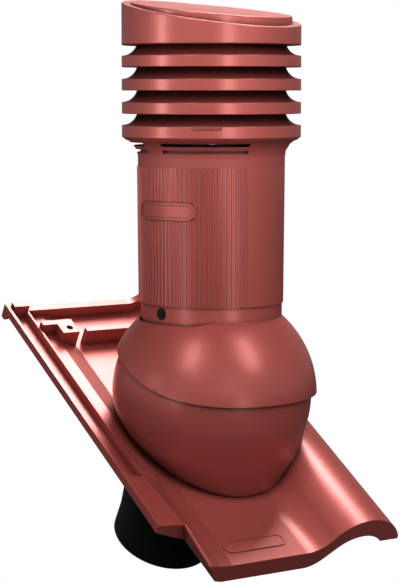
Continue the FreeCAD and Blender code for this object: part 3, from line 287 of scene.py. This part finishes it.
def red_plastic(name, shade_reach, shade_colour=RED_PAINTED_SHADE, foot=None):
    return moulded_plastic(name, RED, RED_DEEP, shade_colour, shade_reach, SATIN, pearl=PEARL, coat=COAT, foot=foot)


crease_shaded_red = red_plastic("brick_red_plastic", CREASE_SHADE)
cove_shaded_red = red_plastic("brick_red_cove_shade", COVE_SHADE)
foot_shaded_red = red_plastic("brick_red_foot_shade", RIM_SHADE, foot=FOOT_SHADE)
tile_shaded_red = red_plastic("brick_red_tile_shade", WALL_SHADE, TILE_PAINTED_SHADE)
rib_shaded_red = red_plastic("brick_red_rib_shade", RIB_SHADE)
collar_shaded_red = moulded_plastic(
    "brick_red_collar_shaded", COLLAR_SHADED_RED, COLLAR_SHADED_DEEP, RED_PAINTED_SHADE, CREASE_SHADE, DULL, pearl=COLLAR_PEARL)
print("mixed", [m.name for m in (crease_shaded_red, cove_shaded_red, foot_shaded_red, tile_shaded_red, rib_shaded_red, collar_shaded_red)])

# %% [markdown]
# ## Black and grey plastic
#
# The spigot is plain black plastic with a duller skin, and so are the caps over the screws, and
# shade is painted a little darker into their creases. Through the slots of the collar a grey duct
# shows, dark because little light gets in, and shade is also painted into its colour, darker
# towards black the more enclosed it lies.

# %% Mix the black and the grey
BLACK = (0.008, 0.009, 0.009, 1)
BLACK_DEEP_AND_SHADE = (0.005, 0.006, 0.006, 1)
GREY = (0.32, 0.33, 0.34, 1)
GREY_DEEP = (0.27, 0.28, 0.29, 1)
# How far and how sharply shade is painted into the duct's colour.
DUCT_SHADE = (40 * MM, 2.0)
BLACK_SKIN = (0.5, 0.1, 0.06 * MM)
GREY_SKIN = (0.7, 0.1, 0.06 * MM)
BLACK_GLOSS = 0.2

# The deeper black is both the plastic's drifting tone and the shade painted into its creases.
black_plastic = moulded_plastic(
    "black_plastic", BLACK, BLACK_DEEP_AND_SHADE, BLACK_DEEP_AND_SHADE, CREASE_SHADE, BLACK_SKIN, gloss=BLACK_GLOSS)
# Painted shade: the duct's colour is darkened towards black the more enclosed it lies.
duct_plastic = moulded_plastic("grey_duct_plastic", GREY, GREY_DEEP, BLACK, DUCT_SHADE, GREY_SKIN)
print("mixed", black_plastic.name, duct_plastic.name)

# %% [markdown]
# ## Foam, rubber and metal
#
# Pale foam lies between the duct and the pipe, the seals are rubber, and stainless screws sit
# in brass inserts. They hardly show, but the vent can be looked into, so each is finished.
# The foam is made of cells a millimetre or so across, which is what a Voronoi texture draws.
# Rubber has a fine matt grain, and turned metal carries faint marks.

# %% Mix the foam and the rubber
FOAM_PALE = (0.66, 0.65, 0.62, 1)
FOAM_CELL = (0.50, 0.49, 0.47, 1)
CELLS_PER_METRE = 700.0
CELL_DEPTH = 0.4 * MM
CELL_STRENGTH = 0.6
FOAM_ROUGHNESS = 0.9
RUBBER_DARK = (0.010, 0.010, 0.010, 1)
RUBBER_LIGHT = (0.020, 0.020, 0.021, 1)
RUBBER_NOISE = (900.0, 3.0, 0.6)
RUBBER_ROUGHNESS = 0.6
RUBBER_DRIFT = 0.1
GRAIN_DEPTH = 0.05 * MM
GRAIN_STRENGTH = 0.4

foam = Finish("insulation_foam")
cell_inputs = {"Vector": foam.place, "Scale": CELLS_PER_METRE}
cells = foam.node("ShaderNodeTexVoronoi", {"feature": "F1"}, cell_inputs, out="Distance")
foam.set(
    Base_Color=foam.between(cells, FOAM_PALE, FOAM_CELL),
    Roughness=FOAM_ROUGHNESS,
    Normal=foam.bump(cells, CELL_DEPTH, CELL_STRENGTH),
)
rubber = Finish("seal_rubber")
grain = rubber.noise(*RUBBER_NOISE)
rubber.set(
    Base_Color=rubber.between(grain, RUBBER_DARK, RUBBER_LIGHT),
    Roughness=grain * RUBBER_DRIFT + RUBBER_ROUGHNESS,
    Normal=rubber.bump(grain, GRAIN_DEPTH, GRAIN_STRENGTH),
)
print("mixed", foam.material.name, rubber.material.name)

# %% Mix the metals
STEEL = (0.60, 0.60, 0.61, 1)
STEEL_ROUGHNESS = 0.25
BRASS = (0.70, 0.50, 0.20, 1)
BRASS_ROUGHNESS = 0.22
MARK_NOISE = (1500.0, 1.0, 0.4)
MARK_DRIFT = 0.12
MARK_DEPTH = 0.01 * MM
MARK_STRENGTH = 0.3


def turned_metal(name, colour, roughness):
    finish = Finish(name)
    marks = finish.noise(*MARK_NOISE)
    finish.set(
        Base_Color=colour,
        Metallic=1.0,
        Roughness=marks * MARK_DRIFT + roughness,
        Normal=finish.bump(marks, MARK_DEPTH, MARK_STRENGTH),
    )
    return finish.material


steel = turned_metal("stainless_steel", STEEL, STEEL_ROUGHNESS)
brass = turned_metal("turned_brass", BRASS, BRASS_ROUGHNESS)
print("mixed", steel.name, brass.name)

# %% [markdown]
# ## Giving each piece its finish
#
# The record says which slot each CAD node takes its finish from, so the slots decide here too.
# Among the red pieces, those with hollows of their own size have a red of their own, which differs in how
# far shade is painted into them, and the collar has a darker red that paints the cap's shade on it.

# %% Dress the CAD nodes
BY_SLOT = {
    "red_plastic": crease_shaded_red,
    "black_plastic": black_plastic,
    "duct_plastic": duct_plastic,
    "foam": foam.material,
    "seal_rubber": rubber.material,
    "screw_steel": steel,
    "insert_brass": brass,
}
BY_NODE = {
    "cap_base_ring": cove_shaded_red,
    "louvre_ring_1": cove_shaded_red,
    "louvre_ring_2": cove_shaded_red,
    "louvre_ring_3": cove_shaded_red,
    "ball_base": foot_shaded_red,
    "tile_body": tile_shaded_red,
    "outer_pipe": rib_shaded_red,
    "cap_collar": collar_shaded_red,
}
for subpart in frame["record"]["subparts"]:
    node = frame["nodes"][subpart["node"]]
    finish = BY_NODE.get(subpart["node"], BY_SLOT[subpart["material_slot"]])
    if not node.material_slots:
        node.data.materials.append(finish)
    for slot in node.material_slots:
        slot.material = finish

# %% [markdown]
# ## The floor
#
# The photograph is a cut-out on white, and it shows no shadow. So the floor is plain white to
# the camera. To the lamps it is a dark sheet, which throws little light up at the vent, because
# the undersides in the photograph are dark.

# %% Lay the floor
WHITE = (1, 1, 1, 1)
FLOOR_HALF = 6.0
FLOOR_GAP = 0.5 * MM
FLOOR_DARK = (0.05, 0.05, 0.05, 1)
FLOOR_ROUGHNESS = 0.9

floor_sheet = bmesh.new()
bmesh.ops.create_grid(floor_sheet, x_segments=1, y_segments=1, size=FLOOR_HALF)
floor_height = cad_low[2] - FLOOR_GAP
bmesh.ops.translate(floor_sheet, verts=floor_sheet.verts, vec=(0, 0, floor_height))
floor_mesh = bpy.data.meshes.new("floor")
floor_sheet.to_mesh(floor_mesh)
floor_sheet.free()
floor = bpy.data.objects.new("floor", floor_mesh)
bpy.context.scene.collection.objects.link(floor)

paper = bpy.data.materials.new("white_floor")
paper.use_nodes = True
bench = Workshop(paper.node_tree)
dark_inputs = {"Base Color": FLOOR_DARK, "Roughness": FLOOR_ROUGHNESS}
to_lamps = bench.node("ShaderNodeBsdfPrincipled", {}, dark_inputs)
to_camera = bench.node("ShaderNodeEmission", {}, {"Color": WHITE, "Strength": 1.0})
camera_looks = bench.node("ShaderNodeLightPath", out="Is Camera Ray")
floor_inputs = {0: camera_looks, 1: to_lamps, 2: to_camera}
bench.show("ShaderNodeOutputMaterial", bench.node("ShaderNodeMixShader", {}, floor_inputs))
floor_mesh.materials.append(paper)
print("floor at", round(floor_height, 4), "with", len(floor_mesh.polygons), "face")

# %% [markdown]
# ## The room
#
# The room is pale at the height of the vent and fades towards the ceiling, and it is darker
# behind the vent than in front of it, because in the photograph the plastic's upper faces and
# far sides catch less light than its front. The camera sees plain white in its place.

# %% Light the room
WALL_STRENGTH = 0.6
CEILING_STRENGTH = 0.05
WALL_TOP = 0.0
CEILING_START = 0.6
BEHIND = (0.545, 0.839, 0)
BEHIND_START = -0.2
BEHIND_END = 0.8
BEHIND_SHARE = 0.35

world = bpy.data.worlds.new("room")
bpy.context.scene.world = world
world.use_nodes = True
room = Workshop(world.node_tree)
direction = room.node("ShaderNodeTexCoord", out="Generated")
height = room.node("ShaderNodeSeparateXYZ", {}, {0: direction}, out="Z")
backwards = room.node(
    "ShaderNodeVectorMath", {"operation": "DOT_PRODUCT"}, {0: direction, 1: BEHIND}, out="Value")
wall = room.eased(height, WALL_TOP, CEILING_START, WALL_STRENGTH, CEILING_STRENGTH)
share = room.eased(backwards, BEHIND_START, BEHIND_END, 1.0, BEHIND_SHARE)
light = room.node("ShaderNodeBackground", {}, {"Color": WHITE, "Strength": wall * share})
seen = room.node("ShaderNodeBackground", {}, {"Color": WHITE, "Strength": 1.0})
camera_ray = room.node("ShaderNodeLightPath", out="Is Camera Ray")
room.show("ShaderNodeOutputWorld", room.node("ShaderNodeMixShader", {}, {0: camera_ray, 1: light, 2: seen}))
print("room lit, walls", WALL_STRENGTH, "ceiling", CEILING_STRENGTH)

# %% [markdown]
# ## The lamps
#
# A round pipe draws each tall lamp as an upright streak, and a ball draws it as a soft patch, so
# the photograph tells where its lamps stood. Two strips make the streaks on the cap. They have
# a grid in front, which is what a narrow spread stands for, and it keeps their light off the
# dome. Two lamps make the patches on the dome, and two low ones catch the ribs. One hangs over
# the roll, and one stands close behind and makes the head of the tile nearly white. The wide
# one in front only fills, so it stays out of the reflections.

# %% How a lamp is hung
OPEN = 180


def around(azimuth, reach, height):
    """A point round the vent. The azimuth counts from the front to the right, the height from the ball."""
    turn = math.radians(azimuth)
    return BALL_CENTRE + Vector((math.sin(turn) * reach, -math.cos(turn) * reach, height))


def soft_box(name, foot, head, width, power, spread):
    """A lamp that runs from its foot to its head and faces the vent."""
    foot, head = around(*foot), around(*head)
    centre = (foot + head) / 2
    along = (head - foot).normalized()
    back = centre - BALL_CENTRE
    back = (back - along * back.dot(along)).normalized()
    lamp = bpy.data.lights.new(name, "AREA")
    lamp.shape = "RECTANGLE"
    lamp.size = width
    lamp.size_y = (head - foot).length
    lamp.energy = power
    lamp.spread = math.radians(spread)
    box = bpy.data.objects.new(name, lamp)
    box.matrix_world = Matrix((along.cross(back), along, back)).transposed().to_4x4()
    box.location = centre
    bpy.context.scene.collection.objects.link(box)
    return box


print("lamps face", [round(v, 3) for v in BALL_CENTRE])

# %% Hang the lamps
# Each has the azimuth, reach and height of its foot and of its head, its width in metres, its
# power in watts and its spread in degrees.
LAMPS = {
    "cap_right": ((-12, 1.1, 0.215), (-12, 1.1, 0.53), 0.24, 0.086, 36),
    "cap_left": ((-96, 1.1, 0.215), (-96, 1.1, 0.53), 0.24, 0.094, 36),
    "dome_right": ((17, 1.03, 0.56), (24, 0.70, 1.22), 0.28, 4.3, OPEN),
    "dome_left": ((-60, 1.02, 0.62), (-60, 0.70, 1.22), 0.26, 3.4, OPEN),
    "box_front": ((-33, 2.6, 0.75), (-33, 2.25, 1.9), 2.0, 32, OPEN),
    "pipe_right": ((2, 1.3, -0.14), (2, 1.338, 0.13), 0.75, 0.058, 24),
    "pipe_left": ((-76, 1.3, -0.14), (-76, 1.338, 0.13), 0.6, 0.040, 24),
    "box_over": ((125, 1.15, 1.74), (125, 0.42, 2.06), 0.85, 34, OPEN),
    "box_back": ((134, 0.75, 0.68), (141, 0.42, 0.95), 0.5, 0.42, 44),
}
boxes = {name: soft_box(name, *numbers) for name, numbers in LAMPS.items()}
boxes["box_front"].visible_glossy = False
print("hung", sorted(boxes))

# %% [markdown]
# ## Plain display colours
#
# The picture is kept in plain display colours.

# %% Keep the display colours plain
bpy.context.scene.view_settings.view_transform = "Standard"
